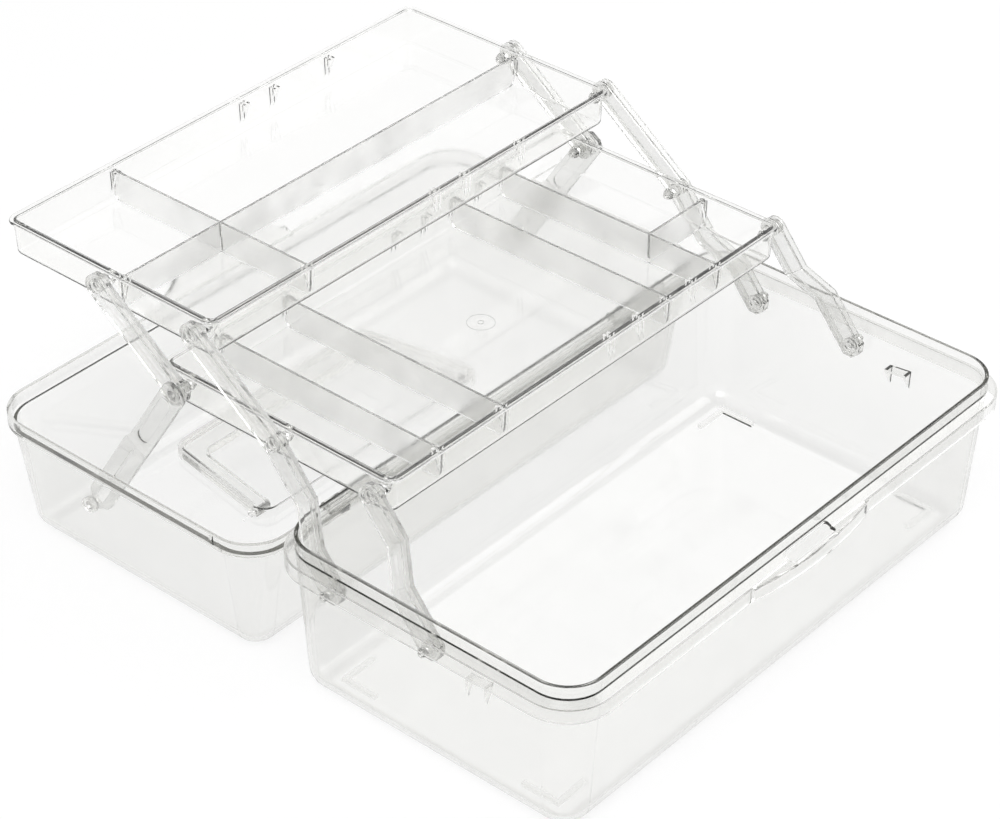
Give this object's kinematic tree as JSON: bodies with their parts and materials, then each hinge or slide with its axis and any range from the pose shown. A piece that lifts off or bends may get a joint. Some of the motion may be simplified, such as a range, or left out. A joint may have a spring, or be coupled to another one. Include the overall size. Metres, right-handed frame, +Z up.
{
  "type": "cantilever art supply box",
  "caption": "Clear plastic art supply box: hinged lid with carrying handle, and divided trays that rise out of the base on cantilever arms as the lid opens.",
  "frame": {"origin": "centre of the base tub's bottom face", "axes": "+X to the right along the length, +Y from the front catch towards the hinge and the open lid, +Z up"},
  "size_m": [0.3424, 0.3865, 0.1662],
  "materials": {
    "clear_shell": "clear, polished",
    "clear_tray": "clear, polished",
    "clear_arm": "clear, polished",
    "clear_divider": "clear, polished",
    "clear_handle": "clear, polished",
    "steel_pin": "plain"
  },
  "bodies": {
    "base": {"base_shell": "clear_shell", "hinge_pin_left": "steel_pin", "hinge_pin_right": "steel_pin"},
    "lid": {"lid_shell": "clear_shell"},
    "handle": {"lid_handle": "clear_handle"},
    "rear_arms": {"rear_arm_left": "clear_arm", "rear_arm_right": "clear_arm"},
    "front_arms": {"front_arm_left": "clear_arm", "front_arm_right": "clear_arm"},
    "upper_arms": {"upper_arm_left": "clear_arm", "upper_arm_right": "clear_arm"},
    "lid_links": {"lid_link_left": "clear_arm", "lid_link_right": "clear_arm"},
    "middle_tray": {"middle_tray": "clear_tray", "middle_tray_divider_1": "clear_divider", "middle_tray_divider_2": "clear_divider", "middle_tray_divider_3": "clear_divider", "middle_tray_divider_4": "clear_divider", "middle_tray_short_divider": "clear_divider"},
    "top_tray": {"top_tray": "clear_tray", "top_tray_long_divider": "clear_divider", "top_tray_cross_divider": "clear_divider"}
  },
  "joints": [
    {"name": "lid_hinge", "type": "hinge", "parent": "base", "child": "lid", "pos_m": [0, 0.0944, 0.0768], "axis": [1, 0, 0], "range_deg": [0, 180]},
    {"name": "handle_fold", "type": "hinge", "parent": "lid", "child": "handle", "pos_m": [0, 0.1876, 0.00315], "axis": [-1, 0, 0], "range_deg": [0, 90]},
    {"name": "rear_arm_pivot", "type": "hinge", "parent": "base", "child": "rear_arms", "pos_m": [0, 0.0571, 0.068], "axis": [1, 0, 0], "range_deg": [0, 122.92]},
    {"name": "front_arm_pivot", "type": "hinge", "parent": "base", "child": "front_arms", "pos_m": [0, -0.0025, 0.068], "axis": [1, 0, 0], "range_deg": [0, 122.92]},
    {"name": "middle_tray_pivot", "type": "hinge", "parent": "rear_arms", "child": "middle_tray", "pos_m": [0, 0.1022, 0.123], "axis": [1, 0, 0], "range_deg": [-122.92, 0]},
    {"name": "top_tray_pivot", "type": "hinge", "parent": "rear_arms", "child": "top_tray", "pos_m": [0, 0.1527, 0.1602], "axis": [1, 0, 0], "range_deg": [-122.92, 0]},
    {"name": "upper_arm_pivot", "type": "hinge", "parent": "middle_tray", "child": "upper_arms", "pos_m": [0, 0.1646, 0.123], "axis": [1, 0, 0], "range_deg": [0, 122.92]},
    {"name": "lid_link_pivot", "type": "hinge", "parent": "middle_tray", "child": "lid_links", "pos_m": [0, 0.1646, 0.123], "axis": [1, 0, 0], "range_deg": [0, 210.9]}
  ],
  "couplings": [
    {"joint": "rear_arm_pivot", "follows": "lid_hinge", "ratio": 0.68275},
    {"joint": "front_arm_pivot", "follows": "lid_hinge", "ratio": 0.68275},
    {"joint": "middle_tray_pivot", "follows": "lid_hinge", "ratio": -0.68275},
    {"joint": "top_tray_pivot", "follows": "lid_hinge", "ratio": -0.68275},
    {"joint": "upper_arm_pivot", "follows": "lid_hinge", "ratio": 0.68275},
    {"joint": "lid_link_pivot", "follows": "lid_hinge", "ratio": 1.1715}
  ]
}
